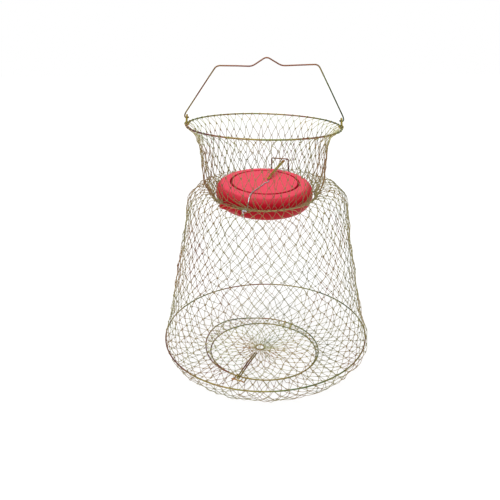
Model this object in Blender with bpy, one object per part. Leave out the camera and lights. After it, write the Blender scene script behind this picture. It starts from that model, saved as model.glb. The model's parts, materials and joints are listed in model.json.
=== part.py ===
"""Collapsible wire keep basket for crabs and live fish.

Plated wire netting hangs on four wire rings. The neck and the body fold flat: on the real basket the
netting crumples, and here it is cut into bands that slide into each other. A red float closes the throat
and is sprung shut, a netted door closes the floor, and a wire bail carries the whole.
Metres, +Z up. The origin is on the ground below the middle of the basket.
"""
import math

import bmesh
import bpy
from mathutils import Matrix, Vector

# ---- Driving dimensions -------------------------------------------------------------------------
HEIGHT = 0.480                 # ground to the top of the raised handle
TOP_RING = (0.1127, 0.3870)    # radius and height of each ring's wire centre
THROAT_RING = (0.0778, 0.2810)
BOTTOM_RING = (0.1700, 0.0410)
FLOOR_BULGE = 0.1748           # the netting's widest radius, below the bottom ring
RIM_LEAN = 1.7                 # the top ring and its handle lean towards +X

FRAME_CENTRE = (-0.004, -0.010)   # the floor opening is a little off the basket's axis
FRAME_RING = (0.0885, 0.0048)
DOOR_CENTRE = (-0.008, -0.009)
DOOR_RING = (0.0975, 0.0105)
DOOR_RING_LIFT = 0.008         # one side of the door ring is bent up
DOOR_HINGE_AZIMUTH = 57.0
EYELET_CENTRE = (-0.0095, -0.0060)
EYELET_HEIGHT = 0.0070         # the door's netting hangs a little to the middle
EYELET_RADIUS = 0.0076

SEGMENTS = 40                  # round every turned piece and ring, so that nested pieces keep their gap
RING_WIRE = 0.0011             # wire radii
THIN_RING_WIRE = 0.0010
HANDLE_WIRE = 0.0010
STAPLE_WIRE = 0.0009
EYELET_WIRE = 0.0008
CLIP_WIRE = 0.0007
SPRING_WIRE = 0.0005
NET = 0.0012                   # thickness of the sheet that stands for the netting
GAP = 0.0004                   # between pieces that touch

SIDE_OUTLINE = ((0.041, 0.1712), (0.064, 0.1660), (0.1285, 0.1510), (0.170, 0.1440),
                (0.211, 0.1340), (0.250, 0.1280), (0.278, 0.1215))   # height and outer radius
BAND_EDGES = (0.0430, 0.0960, 0.1480, 0.1990, 0.2480)                # bottoms of the side bands
BAND_SEAM = 0.0020             # height between two bands
BAND_STEP = 0.0010             # each band's foot is pulled in, and its top pushed out, by this

LID_HINGE_AZIMUTH = 233.0
LID_TILT = 2.6                 # up, away from the hinge
LID_ROLL = 4.5                 # the loose hinge lets the lid lie askew
LID_RADIUS = 0.0742
LID_HALF_HEIGHT = 0.0155
LID_ROUNDING = 0.0145          # depth of the lid's rounded side
LID_BOTTOM_HALF_HEIGHT = 0.0200
LID_BOTTOM_ROUNDING = 0.0125
LID_WALL = 0.0016
LID_SEAM = 0.0002               # half the gap between the lid's two shells
LID_CENTRE_INWARD = 0.0776     # lid centre from the hinge axis, along and above the lid's own plane
LID_CENTRE_RISE = 0.0026
LID_PANEL_RISE = 0.0004        # the panel inside the groove stands a little proud
GROOVE_RADIUS = 0.0530
GROOVE_HALF_WIDTH = 0.0016
GROOVE_DEPTH = 0.0012
LUG_INNER = 0.0040
LUG_OUTER = 0.0060
LUG_WIDTH = 0.0370
LUG_WINDOW = (0.0220, 0.0510, 0.0180)   # cut in the netting for the lug: inward, along the hinge, up

KEEPER_AZIMUTH = 70.0          # the lid's keeper stands opposite the hinge
KEEPER_HALF_WIDTH = 0.0145
KEEPER_BAR = (0.0745, 0.3215)  # distance from the axis and height of its bar
CATCH_TIP = (0.0705, 63.5, 0.3195)
CATCH_ROOT = (0.0150, -2.5)    # on the lid: distance from its middle, and azimuth from the hinge line
SPRING_COIL = (248.6, 2.6, 1.75)   # azimuth where it starts, azimuth it covers, turns
SPRING_LEG = ((0.0738, 198.4), (0.0722, 198.3), (0.0690, 198.0), (0.0650, 197.6), (0.0600, 197.0),
              (0.0440, 195.2), (0.0290, 191.0), (0.0148, 183.4), (0.0050, 150.0), (0.0100, 12.0))
HAIRPIN_HALF_WIDTH = 0.0012

DOOR_LATCH_ROOT = (-0.0168, -0.0335)
DOOR_LATCH_TIP = (-0.0455, -0.1054)
DOOR_LATCH_HEIGHT = 0.0131
DOOR_KEEPER_AZIMUTHS = (240.4, 252.8)
DOOR_KEEPER_BAR = (246.6, 0.1075, 0.0125)   # azimuth, distance from the frame's centre, height
DOOR_KEEPER_HALF_WIDTH = 0.0095
DOOR_CLIP_SPREAD = 4.5         # azimuth of each hinge clip from the hinge's middle
DOOR_NOTCH = (0.0200, 0.0300, 0.0100)   # cut in the door's netting for the clips

HANDLE_AXIS_HEIGHT = 0.3950
HANDLE_END_X = 0.1082          # inner end of the pivot, then the leg outside the ear
HANDLE_LEG_X = 0.1155
HANDLE_KINK_HEIGHT = 0.4000
HANDLE_CORNER = (0.0720, 0.4700)
HANDLE_DIP = (0.0208, 0.4683)
HANDLE_PEAK_HALF_WIDTH = 0.0025
EAR_X = 0.1122
EAR_HALF_WIDTH = 0.0040
EAR_TOP = 0.3990


# ---- Helpers ------------------------------------------------------------------------------------
def clear_scene():
    for item in list(bpy.data.objects):
        bpy.data.objects.remove(item, do_unlink=True)


def make_material(name, colour, roughness, metallic):
    material = bpy.data.materials.new(name)
    material.use_nodes = True
    shader = material.node_tree.nodes["Principled BSDF"]
    shader.inputs["Base Color"].default_value = (*colour, 1.0)
    shader.inputs["Roughness"].default_value = roughness
    shader.inputs["Metallic"].default_value = metallic
    return material


def link(name, data, material):
    data.materials.append(material)
    item = bpy.data.objects.new(name, data)
    bpy.context.scene.collection.objects.link(item)
    return item


def polar(radius, azimuth, height, centre=(0.0, 0.0)):
    angle = math.radians(azimuth)
    return Vector((centre[0] + radius * math.cos(angle), centre[1] + radius * math.sin(angle), height))


def make_pivot(name, matrix):
    """An empty on a joint's axis; the joint's pieces are its children."""
    pivot = bpy.data.objects.new(name, None)
    pivot.matrix_world = matrix
    bpy.context.scene.collection.objects.link(pivot)
    return pivot


def hang(item, pivot):
    item.parent = pivot
    item.matrix_parent_inverse = pivot.matrix_world.inverted()


def turned(name, section, material, matrix=None):
    """A closed ring of quads: section is a loop of (radius, height) or (radius, height, centre)."""
    mesh = bmesh.new()
    loops = []
    for radius, height, *rest in section:
        centre = rest[0] if rest else (0.0, 0.0)
        loops.append([mesh.verts.new(polar(radius, 360.0 * step / SEGMENTS, height, centre))
                      for step in range(SEGMENTS)])
    for here, there in zip(loops, loops[1:] + loops[:1]):
        for step in range(SEGMENTS):
            after = (step + 1) % SEGMENTS
            mesh.faces.new((here[step], here[after], there[after], there[step]))
    bmesh.ops.recalc_face_normals(mesh, faces=mesh.faces)
    return finish_mesh(name, mesh, material, matrix)


def turned_cap(name, section, material, matrix=None):
    """Like turned, but the section is open: it starts and ends on the axis, where fans close it."""
    mesh = bmesh.new()
    loops = [[mesh.verts.new(polar(radius, 360.0 * step / SEGMENTS, height)) for step in range(SEGMENTS)]
             for radius, height in section[1:-1]]
    for here, there in zip(loops, loops[1:]):
        for step in range(SEGMENTS):
            after = (step + 1) % SEGMENTS
            mesh.faces.new((here[step], here[after], there[after], there[step]))
    for (_, height), loop in ((section[0], loops[0]), (section[-1], loops[-1])):
        middle = mesh.verts.new((0.0, 0.0, height))
        for step in range(SEGMENTS):
            mesh.faces.new((middle, loop[step], loop[(step + 1) % SEGMENTS]))
    bmesh.ops.recalc_face_normals(mesh, faces=mesh.faces)
    return finish_mesh(name, mesh, material, matrix)


def finish_mesh(name, mesh, material, matrix):
    data = bpy.data.meshes.new(name)
    mesh.to_mesh(data)
    mesh.free()
    data.shade_smooth()
    data.set_sharp_from_angle(angle=math.radians(40))
    item = link(name, data, material)
    if matrix is not None:
        item.matrix_world = matrix
    return item


def wire(name, points, radius, material, closed=False, sides=6):
    """A bent wire along points; closed joins its ends."""
    curve = bpy.data.curves.new(name, "CURVE")
    curve.dimensions = "3D"
    curve.bevel_depth = radius
    curve.bevel_resolution = (sides - 4) // 2
    curve.render_resolution_u = 0
    curve.use_fill_caps = not closed
    spline = curve.splines.new("POLY")
    spline.points.add(len(points) - 1)
    for target, point in zip(spline.points, points):
        target.co = (*point, 1.0)
    spline.use_cyclic_u = closed
    return link(name, curve, material)


def ring_points(radius, height, centre=(0.0, 0.0)):
    return [polar(radius, 360.0 * step / SEGMENTS, height, centre) for step in range(SEGMENTS)]


def bent(points, bend, steps=3):
    """Round each inner corner of a route; bend is how far before and after the corner it starts."""
    points = [Vector(point) for point in points]
    route = [points[0]]
    for before, corner, after in zip(points, points[1:], points[2:]):
        reach_in = min(bend, (before - corner).length * 0.45)
        reach_out = min(bend, (after - corner).length * 0.45)
        start = corner + (before - corner).normalized() * reach_in
        end = corner + (after - corner).normalized() * reach_out
        for step in range(steps + 1):
            t = step / steps
            route.append(start * (1 - t) ** 2 + corner * 2 * t * (1 - t) + end * t * t)
    return route + [points[-1]]


def half_wrap(centre, outward, reach, first, last, steps=5):
    """Points round a ring's wire, in the plane of outward and +Z; angles from outward towards up."""
    points = []
    for step in range(steps + 1):
        angle = math.radians(first + (last - first) * step / steps)
        points.append(centre + outward * reach * math.cos(angle) + Vector((0, 0, reach * math.sin(angle))))
    return points


def hairpin(root, tip, half_width, steps=6):
    """A double wire from root to tip and back, round a half-circle at the tip."""
    along = (tip - root).normalized()
    across = along.cross(Vector((0, 0, 1))).normalized()
    turn = tip - along * half_width
    points = [root + across * half_width]
    for step in range(steps + 1):
        angle = math.pi * step / steps
        points.append(turn + across * half_width * math.cos(angle) + along * half_width * math.sin(angle))
    return points + [root - across * half_width]


def boolean(item, operation, tool):
    modifier = item.modifiers.new(operation.lower(), "BOOLEAN")
    modifier.operation = operation
    modifier.object = tool
    tool.hide_render = True
    tool.display_type = "WIRE"


def box(name, matrix, size, material):
    mesh = bmesh.new()
    bmesh.ops.create_cube(mesh, size=1.0, matrix=matrix @ Matrix.Diagonal((*size, 1.0)))
    return finish_mesh(name, mesh, material, None)


def side_radius(height):
    """Outer radius of the netting, read along SIDE_OUTLINE."""
    for (low, low_radius), (high, high_radius) in zip(SIDE_OUTLINE, SIDE_OUTLINE[1:]):
        if height <= high:
            share = (height - low) / (high - low)
            return low_radius + (high_radius - low_radius) * share
    return SIDE_OUTLINE[-1][1]


# ---- Netting ------------------------------------------------------------------------------------
def make_side_band(name, bottom, top, foot_shift, top_shift, material):
    middle = (bottom + top) / 2
    outer = [(side_radius(bottom) + foot_shift, bottom),
             (side_radius(middle) + (foot_shift + top_shift) / 2, middle),
             (side_radius(top) + top_shift, top)]
    inner = [(radius - NET, height) for radius, height in reversed(outer)]
    return turned(name, outer + inner, material)


def make_side_nets(material):
    for number, (bottom, above) in enumerate(zip(BAND_EDGES, BAND_EDGES[1:]), start=1):
        foot_shift = 0.0 if number == 1 else -BAND_STEP
        make_side_band(f"side_net_{number}", bottom, above - BAND_SEAM, foot_shift, BAND_STEP, material)


def towards(here, there, reach):
    """A station of a section, moved by reach along the section."""
    length = math.dist(here[:2], there[:2])
    return tuple(a + (b - a) * reach / length for a, b in zip(here, there))


def make_sheet(name, stations, material):
    """A turned sheet; a station is its outer radius and height, then its inner radius and height."""
    outer = [station[:2] for station in stations]
    inner = [station[2:] for station in reversed(stations)]
    return turned(name, outer + inner, material)


def make_floor_net(material):
    """The flat floor round the door's opening, and the bulging rim that rises to the bottom ring."""
    inner_edge = FRAME_RING[0] + THIN_RING_WIRE + GAP
    turned("floor_net", [(inner_edge, 0.0, FRAME_CENTRE), (0.1280, 0.0), (0.1480, 0.0040),
                         (0.1475, 0.0053), (0.1278, NET), (inner_edge, NET, FRAME_CENTRE)], material)
    top = BOTTOM_RING[1] - RING_WIRE - GAP
    rim = [(0.1480, 0.0040, 0.1475, 0.0053), (0.1600, 0.0120, 0.1591, 0.0130),
           (0.1690, 0.0220, 0.1680, 0.0228), (FLOOR_BULGE, 0.0340, FLOOR_BULGE - NET, 0.0340),
           (0.1742, top, 0.1742 - NET, top)]
    rim[0] = towards(rim[0], rim[1], GAP)
    make_sheet("floor_rim_net", rim, material)


def make_shoulder(material):
    """Three turned sheets, each nearly straight in section: the wall's top, the crown and the inner lip."""
    bottom = BAND_EDGES[-1]
    foot = side_radius(bottom) - BAND_STEP
    stations = [(foot, bottom, foot - NET, bottom), (0.1234, 0.2690, 0.1222, 0.2687),
                (0.1150, 0.2882, 0.1141, 0.2873), (0.1065, 0.2955, 0.1060, 0.2944),
                (0.0960, 0.2974, 0.0964, 0.2962), (0.0885, 0.2905, 0.0896, 0.2899),
                (0.0870, 0.2850, 0.0882, 0.2850)]
    pieces = []
    for number, (first, last) in enumerate(((0, 2), (2, 4), (4, 6)), start=1):
        section = stations[first:last + 1]
        if first > 0:
            section[0] = towards(section[0], section[1], GAP)
        pieces.append(make_sheet(f"shoulder_net_{number}", section, material))
    return pieces


def make_neck_band(name, outer, material):
    inner = [(radius - NET, height) for radius, height in reversed(outer)]
    return turned(name, outer + inner, material)


def make_neck(material):
    lower = make_neck_band("neck_net_1", [(0.0838, 0.2866), (0.0880, 0.2985), (0.0914, 0.3100),
                                          (0.0922, 0.3300)], material)
    make_neck_band("neck_net_2", [(0.0940, 0.3320), (0.0942, 0.3580)], material)
    make_neck_band("neck_net_3", [(0.0960, 0.3600), (0.0962, 0.3680), (0.1005, 0.3755), (0.1095, 0.3815)],
                   material)
    return lower


def cut_lug_window(pieces, hinge, material):
    """The lug swings through one wide cell of the netting beside the throat ring."""
    window = box("lug_window", hinge, LUG_WINDOW, material)
    for piece in pieces:
        boolean(piece, "DIFFERENCE", window)


def make_door_net(material):
    half = NET / 2
    rim = DOOR_RING[0] - THIN_RING_WIRE - GAP
    eye = EYELET_RADIUS + EYELET_WIRE + GAP
    net = turned("door_net", [(eye, EYELET_HEIGHT - half, EYELET_CENTRE),
                              (rim, DOOR_RING[1] - half, DOOR_CENTRE),
                              (rim, DOOR_RING[1] + half, DOOR_CENTRE),
                              (eye, EYELET_HEIGHT + half, EYELET_CENTRE)], material)
    middle = polar(DOOR_RING[0] - 0.0050, DOOR_HINGE_AZIMUTH, DOOR_RING[1], DOOR_CENTRE)
    turn = Matrix.Rotation(math.radians(DOOR_HINGE_AZIMUTH), 4, "Z")
    notch = box("door_notch", Matrix.Translation(middle) @ turn, DOOR_NOTCH, material)
    boolean(net, "DIFFERENCE", notch)
    return net


# ---- Rings and their small wires ----------------------------------------------------------------
def door_ring_height(azimuth):
    """The ring is flat but for one bend, lifted round azimuth 150."""
    away = abs((azimuth - 150.0 + 180.0) % 360.0 - 180.0)
    lift = max(0.0, math.cos(math.radians(min(away * 1.5, 90.0))))
    return DOOR_RING[1] + DOOR_RING_LIFT * lift * lift


def rim_matrix():
    """Leans the top ring, its ears and the handle about the ring's centre."""
    centre = Matrix.Translation((0, 0, TOP_RING[1]))
    return centre @ Matrix.Rotation(math.radians(RIM_LEAN), 4, "Y") @ centre.inverted()


def on_rim(points):
    return [rim_matrix() @ Vector(point) for point in points]


def make_rings(material):
    wire("top_ring", on_rim(ring_points(*TOP_RING)), RING_WIRE, material, closed=True)
    wire("throat_ring", ring_points(*THROAT_RING), THIN_RING_WIRE, material, closed=True)
    wire("bottom_ring", ring_points(*BOTTOM_RING), RING_WIRE, material, closed=True)
    wire("door_frame_ring", ring_points(*FRAME_RING, FRAME_CENTRE), THIN_RING_WIRE, material,
         closed=True)


def make_door_rings(material):
    route = [polar(DOOR_RING[0], azimuth, door_ring_height(azimuth), DOOR_CENTRE)
             for azimuth in (360.0 * step / SEGMENTS for step in range(SEGMENTS))]
    ring = wire("door_ring", route, THIN_RING_WIRE, material, closed=True)
    eyelet = [polar(EYELET_RADIUS, 15.0 * step, EYELET_HEIGHT, EYELET_CENTRE) for step in range(24)]
    return ring, wire("door_centre_ring", eyelet, EYELET_WIRE, material, closed=True)


def make_hinge_clip(name, azimuth, material):
    """An oval of wire that holds the door ring to the frame ring and lets it roll."""
    outward = polar(1.0, DOOR_HINGE_AZIMUTH, 0.0)
    door = polar(DOOR_RING[0], azimuth, DOOR_RING[1], DOOR_CENTRE)
    frame_radius = FRAME_RING[0]
    along = Vector((-outward.y, outward.x, 0.0))
    to_door = door - Vector((*FRAME_CENTRE, 0.0))
    sideways = to_door.dot(along)
    inward = math.sqrt(frame_radius ** 2 - sideways ** 2)
    frame = Vector((*FRAME_CENTRE, FRAME_RING[1])) + along * sideways + outward * inward
    reach = THIN_RING_WIRE + GAP + CLIP_WIRE
    lean = math.degrees(math.atan2(door.z - frame.z, (door - frame).dot(outward)))
    points = half_wrap(door, outward, reach, lean - 90, lean + 90, 6)
    points += half_wrap(frame, outward, reach, lean + 90, lean + 270, 6)
    return wire(name, points, CLIP_WIRE, material, closed=True)


def make_door_keeper(material):
    """A flat staple: its feet hook over the frame ring, and its bar lies outside the door ring."""
    azimuth, distance, bar_height = DOOR_KEEPER_BAR
    along = Vector((-math.sin(math.radians(azimuth)), math.cos(math.radians(azimuth)), 0.0))
    bar = polar(distance, azimuth, bar_height, FRAME_CENTRE)
    reach = THIN_RING_WIRE + GAP + STAPLE_WIRE
    route = []
    for foot_azimuth, side in zip(DOOR_KEEPER_AZIMUTHS, (-1, 1)):
        outward = polar(1.0, foot_azimuth, 0.0)
        ring = polar(FRAME_RING[0], foot_azimuth, FRAME_RING[1], FRAME_CENTRE)
        foot = half_wrap(ring, outward, reach, 200, 90)
        corner = bar + along * side * DOOR_KEEPER_HALF_WIDTH
        knee = corner.lerp(foot[-1], 0.20)
        knee.z = foot[-1].z
        leg = foot + bent([foot[-1] + outward * 0.002, knee, corner, bar], 0.002)
        route += leg[:-1] if side == -1 else leg[:-1][::-1]
    return wire("door_keeper", route, STAPLE_WIRE, material)


def make_lid_keeper(material):
    """A rectangular staple that stands on the throat ring, opposite the hinge."""
    outward = polar(1.0, KEEPER_AZIMUTH, 0.0)
    along = Vector((-outward.y, outward.x, 0.0))
    bar = outward * KEEPER_BAR[0] + Vector((0, 0, KEEPER_BAR[1]))
    reach = THIN_RING_WIRE + GAP + STAPLE_WIRE
    spread = math.degrees(math.asin(KEEPER_HALF_WIDTH / THROAT_RING[0]))
    legs = []
    for side in (-1, 1):
        foot_azimuth = KEEPER_AZIMUTH + side * spread
        ring = polar(THROAT_RING[0], foot_azimuth, THROAT_RING[1])
        foot = half_wrap(ring, polar(1.0, foot_azimuth, 0.0), reach, -80, 35)
        corner = bar + along * side * KEEPER_HALF_WIDTH
        legs.append(foot + bent([foot[-1] + Vector((0, 0, 0.002)), corner, bar], 0.0025)[:-1])
    return wire("lid_keeper", legs[0] + legs[1][::-1], STAPLE_WIRE, material)


def make_ear(name, side, material):
    """An upright loop on the top ring; its feet hook round the ring from outside."""
    outward = Vector((side, 0.0, 0.0))
    reach = RING_WIRE + GAP + STAPLE_WIRE
    legs = []
    for end in (-1, 1):
        across = end * EAR_HALF_WIDTH
        ring = Vector((side * math.sqrt(TOP_RING[0] ** 2 - across ** 2), across, TOP_RING[1]))
        foot = half_wrap(ring, outward, reach, -75, 80)
        corner = Vector((side * EAR_X, across, EAR_TOP))
        crown = Vector((side * EAR_X, 0.0, EAR_TOP))
        legs.append(foot + bent([foot[-1] + Vector((0, 0, 0.001)), corner, crown], 0.0035)[:-1])
    return wire(name, on_rim(legs[0] + legs[1][::-1]), STAPLE_WIRE, material)


# ---- Handle -------------------------------------------------------------------------------------
def make_handle(material):
    """One bent wire: a short pivot through each ear, legs, two shoulders and a centre peak."""
    peak = HEIGHT - HANDLE_WIRE
    half = [(HANDLE_END_X, 0, HANDLE_AXIS_HEIGHT + 0.0040), (HANDLE_END_X, 0, HANDLE_AXIS_HEIGHT),
            (HANDLE_LEG_X, 0, HANDLE_AXIS_HEIGHT), (HANDLE_LEG_X, 0, HANDLE_KINK_HEIGHT),
            (HANDLE_CORNER[0], 0, HANDLE_CORNER[1]), (HANDLE_DIP[0], 0, HANDLE_DIP[1])]
    mirrored = [(-x, y, z) for x, y, z in reversed(half)]
    route = half + [(HANDLE_PEAK_HALF_WIDTH, 0, peak), (-HANDLE_PEAK_HALF_WIDTH, 0, peak)] + mirrored
    item = wire("handle", on_rim(bent(route, 0.006)), HANDLE_WIRE, material, sides=8)
    hang(item, make_pivot("handle_pivot", rim_matrix() @ Matrix.Translation((0, 0, HANDLE_AXIS_HEIGHT))))


# ---- Lid ----------------------------------------------------------------------------------------
def lid_hinge_matrix():
    """Origin on the throat ring, X inward along the lid, Y roughly along the hinge axis, Z its normal."""
    place = polar(THROAT_RING[0], LID_HINGE_AZIMUTH, THROAT_RING[1])
    turn = Matrix.Rotation(math.radians(LID_HINGE_AZIMUTH - 180.0), 4, "Z")
    tilt = Matrix.Rotation(-math.radians(LID_TILT), 4, "Y") @ Matrix.Rotation(math.radians(LID_ROLL), 4, "X")
    return Matrix.Translation(place) @ turn @ tilt


def rounded_side(radius, half_height, rounding, first, last, steps):
    """Radius and height round the lid's side; the angle is 0 at the widest, 90 on top."""
    points = []
    for step in range(steps + 1):
        angle = math.radians(first + (last - first) * step / steps)
        points.append((radius - rounding + rounding * math.cos(angle), half_height * math.sin(angle)))
    return points


def make_lid_shells(material, matrix):
    top = LID_HALF_HEIGHT
    inside = (LID_RADIUS - LID_WALL, LID_HALF_HEIGHT - LID_WALL, LID_ROUNDING - LID_WALL)
    groove_in = GROOVE_RADIUS - GROOVE_HALF_WIDTH
    groove_out = GROOVE_RADIUS + GROOVE_HALF_WIDTH
    outer = [(0.0, top + LID_PANEL_RISE), (groove_in - 0.001, top + LID_PANEL_RISE),
             (groove_in, top - GROOVE_DEPTH), (groove_out, top - GROOVE_DEPTH), (groove_out + 0.001, top)]
    outer += rounded_side(LID_RADIUS, top, LID_ROUNDING, 90, 1, 5)
    inner = rounded_side(*inside, 1, 90, 4) + [(groove_out, top - GROOVE_DEPTH - LID_WALL),
                                               (groove_in, top - GROOVE_DEPTH - LID_WALL),
                                               (groove_in - 0.003, inside[1]), (0.0, inside[1])]
    upper = turned_cap("lid_top_shell", outer + inner, material, matrix)
    low = LID_BOTTOM_HALF_HEIGHT
    inside = (LID_RADIUS - LID_WALL, low - LID_WALL, LID_BOTTOM_ROUNDING - LID_WALL)
    outer = [(0.0, -low)] + rounded_side(LID_RADIUS, low, LID_BOTTOM_ROUNDING, -90, -1, 5)
    inner = rounded_side(*inside, -1, -90, 4) + [(0.0, -inside[1])]
    outer[-1] = (outer[-1][0], -LID_SEAM)
    inner[0] = (inner[0][0], -LID_SEAM)
    lower = turned_cap("lid_bottom_shell", outer + inner, material, matrix)
    return upper, lower


def make_lug(material, hinge):
    """A half-round channel under the throat ring, open upwards and inwards; the ring turns in it."""
    mesh = bmesh.new()
    steps = 10
    arcs = []
    for y in (-LUG_WIDTH / 2, LUG_WIDTH / 2):
        rows = []
        for radius in (LUG_OUTER, LUG_INNER):
            row = []
            for step in range(steps + 1):
                angle = math.radians(-200.0 + 155.0 * step / steps)
                row.append(mesh.verts.new((radius * math.cos(angle), y, radius * math.sin(angle))))
            rows.append(row)
        arcs.append(rows)
    (near_outer, near_inner), (far_outer, far_inner) = arcs
    for step in range(steps):
        for first, second in ((near_outer, far_outer), (far_inner, near_inner), (near_inner, near_outer),
                              (far_outer, far_inner)):
            mesh.faces.new((first[step], first[step + 1], second[step + 1], second[step]))
    for step in (0, steps):
        mesh.faces.new((near_outer[step], near_inner[step], far_inner[step], far_outer[step]))
    bmesh.ops.recalc_face_normals(mesh, faces=mesh.faces)
    return finish_mesh("lid_lug", mesh, material, hinge)


def on_lid(hinge, distance, azimuth, clearance):
    """A point above the lid's upper surface, given from the lid's middle."""
    flat = LID_RADIUS - LID_ROUNDING
    share = min(1.0, max(0.0, (distance - flat) / LID_ROUNDING))
    height = LID_HALF_HEIGHT * math.sqrt(1.0 - share * share) + LID_PANEL_RISE * (share == 0.0)
    outward = polar(distance + clearance * share, azimuth, 0.0)
    return hinge @ (outward + Vector((LID_CENTRE_INWARD, 0.0, height + clearance + LID_CENTRE_RISE)))


def make_catch_arm(material, hinge):
    """A hairpin from the middle of the lid, whose tip comes up inside the keeper's bar."""
    root = on_lid(hinge, *CATCH_ROOT, STAPLE_WIRE + GAP)
    tip = polar(*CATCH_TIP)
    points = hairpin(root, tip, HAIRPIN_HALF_WIDTH)
    return wire("lid_catch_arm", points, STAPLE_WIRE, material)


def make_lid_spring(material, hinge):
    """Nearly two turns round the throat ring beside the lug, then a leg over the lid to the catch arm."""
    reach = THIN_RING_WIRE + GAP + SPRING_WIRE
    start_azimuth, cover, turns = SPRING_COIL
    steps = 16
    points = []
    for step in range(steps + 1):
        share = step / steps
        azimuth = start_azimuth + cover * share
        angle = math.radians(-turns * 360.0 * share)
        outward = polar(1.0, azimuth, 0.0)
        ring = polar(THROAT_RING[0], azimuth, THROAT_RING[1])
        points.append(ring + outward * reach * math.cos(angle) + Vector((0, 0, reach * math.sin(angle))))
    leg = [on_lid(hinge, distance, azimuth, SPRING_WIRE + GAP) for distance, azimuth in SPRING_LEG]
    return wire("lid_spring", points + leg, SPRING_WIRE, material)


def make_lid(plastic, plated, bright):
    hinge = lid_hinge_matrix()
    pivot = make_pivot("lid_hinge", hinge)
    centre = hinge @ Matrix.Translation((LID_CENTRE_INWARD, 0.0, LID_CENTRE_RISE))
    upper, lower = make_lid_shells(plastic, centre)
    boolean(lower, "UNION", make_lug(plastic, hinge))
    for piece in (upper, lower, make_catch_arm(plated, hinge), make_lid_spring(bright, hinge)):
        hang(piece, pivot)
    return hinge


# ---- Door ---------------------------------------------------------------------------------------
def make_door(netting, plated):
    hinge = polar(DOOR_RING[0], DOOR_HINGE_AZIMUTH, DOOR_RING[1], DOOR_CENTRE)
    pivot = make_pivot("door_hinge", Matrix.Translation(hinge))
    for piece in (make_door_net(netting), *make_door_rings(plated)):
        hang(piece, pivot)
    root = Vector((*DOOR_LATCH_ROOT, DOOR_LATCH_HEIGHT))
    tip = Vector((*DOOR_LATCH_TIP, DOOR_LATCH_HEIGHT))
    latch = wire("door_latch", hairpin(root, tip, HAIRPIN_HALF_WIDTH), STAPLE_WIRE, plated)
    hang(latch, make_pivot("door_latch_pivot", Matrix.Translation(root)))
    for name, side in (("door_hinge_clip_left", 1), ("door_hinge_clip_right", -1)):
        make_hinge_clip(name, DOOR_HINGE_AZIMUTH + side * DOOR_CLIP_SPREAD, plated)


def main():
    clear_scene()
    plated = make_material("plated_wire", (0.50, 0.44, 0.24), 0.30, 1.0)
    netting = make_material("netting_wire", (0.45, 0.40, 0.30), 0.40, 1.0)
    plastic = make_material("red_plastic", (0.75, 0.02, 0.05), 0.35, 0.0)
    bright = make_material("spring_wire", (0.78, 0.80, 0.82), 0.20, 1.0)
    make_side_nets(netting)
    make_floor_net(netting)
    shoulder = make_shoulder(netting)
    neck = make_neck(netting)
    make_rings(plated)
    make_door_keeper(plated)
    make_lid_keeper(plated)
    make_ear("handle_ear_left", -1, plated)
    make_ear("handle_ear_right", 1, plated)
    make_handle(plated)
    hinge = make_lid(plastic, plated, bright)
    cut_lug_window((shoulder[-1], neck), hinge, netting)
    make_door(netting, plated)


main()
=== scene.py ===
"""Visual model of a collapsible wire keep basket with a red float lid.

The netting is closed courses of thin plated wire, each bent into a zig-zag and hooked through the course
before it. The rings, staples, latches and handle are smooth round wire, and the float is a turned plastic
shell. Metres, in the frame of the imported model.
"""
import json
import math

import bmesh
import bpy
import numpy as np
from mathutils import Matrix, Vector


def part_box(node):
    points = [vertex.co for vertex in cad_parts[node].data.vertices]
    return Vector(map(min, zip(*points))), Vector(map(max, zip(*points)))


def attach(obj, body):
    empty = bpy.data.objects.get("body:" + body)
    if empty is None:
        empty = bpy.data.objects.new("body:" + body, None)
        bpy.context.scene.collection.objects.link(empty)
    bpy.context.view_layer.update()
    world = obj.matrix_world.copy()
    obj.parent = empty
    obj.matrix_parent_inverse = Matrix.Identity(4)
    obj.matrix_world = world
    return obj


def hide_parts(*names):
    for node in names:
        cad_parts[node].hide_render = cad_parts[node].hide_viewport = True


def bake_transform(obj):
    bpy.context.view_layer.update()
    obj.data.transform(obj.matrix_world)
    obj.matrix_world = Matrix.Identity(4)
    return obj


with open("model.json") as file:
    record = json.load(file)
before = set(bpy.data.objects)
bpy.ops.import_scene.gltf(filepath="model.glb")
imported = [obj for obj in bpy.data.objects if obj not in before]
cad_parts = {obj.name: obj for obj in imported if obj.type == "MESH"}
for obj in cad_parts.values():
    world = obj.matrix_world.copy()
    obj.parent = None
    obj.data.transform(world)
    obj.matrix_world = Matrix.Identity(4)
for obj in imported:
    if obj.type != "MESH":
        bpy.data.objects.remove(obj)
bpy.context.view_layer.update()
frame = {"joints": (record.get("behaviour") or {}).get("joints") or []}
UP = Vector((0.0, 0.0, 1.0))
TAU = 2.0 * math.pi

# ---- Wire and netting sizes ---------------------------------------------------------------------
RING_WIRE = 0.0011            # radii
THIN_RING_WIRE = 0.0010
HANDLE_WIRE = 0.0010
STAPLE_WIRE = 0.0010
CATCH_WIRE = 0.0011
EYELET_WIRE = 0.0008
CLIP_WIRE = 0.0007
SPRING_WIRE = 0.0005
NET_WIRE = 0.00038
GAP = 0.0003
END_REACH = 0.45              # a wire's rounded end, in wire radii: how far it reaches, and how thick
END_RADIUS = 0.55

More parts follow.
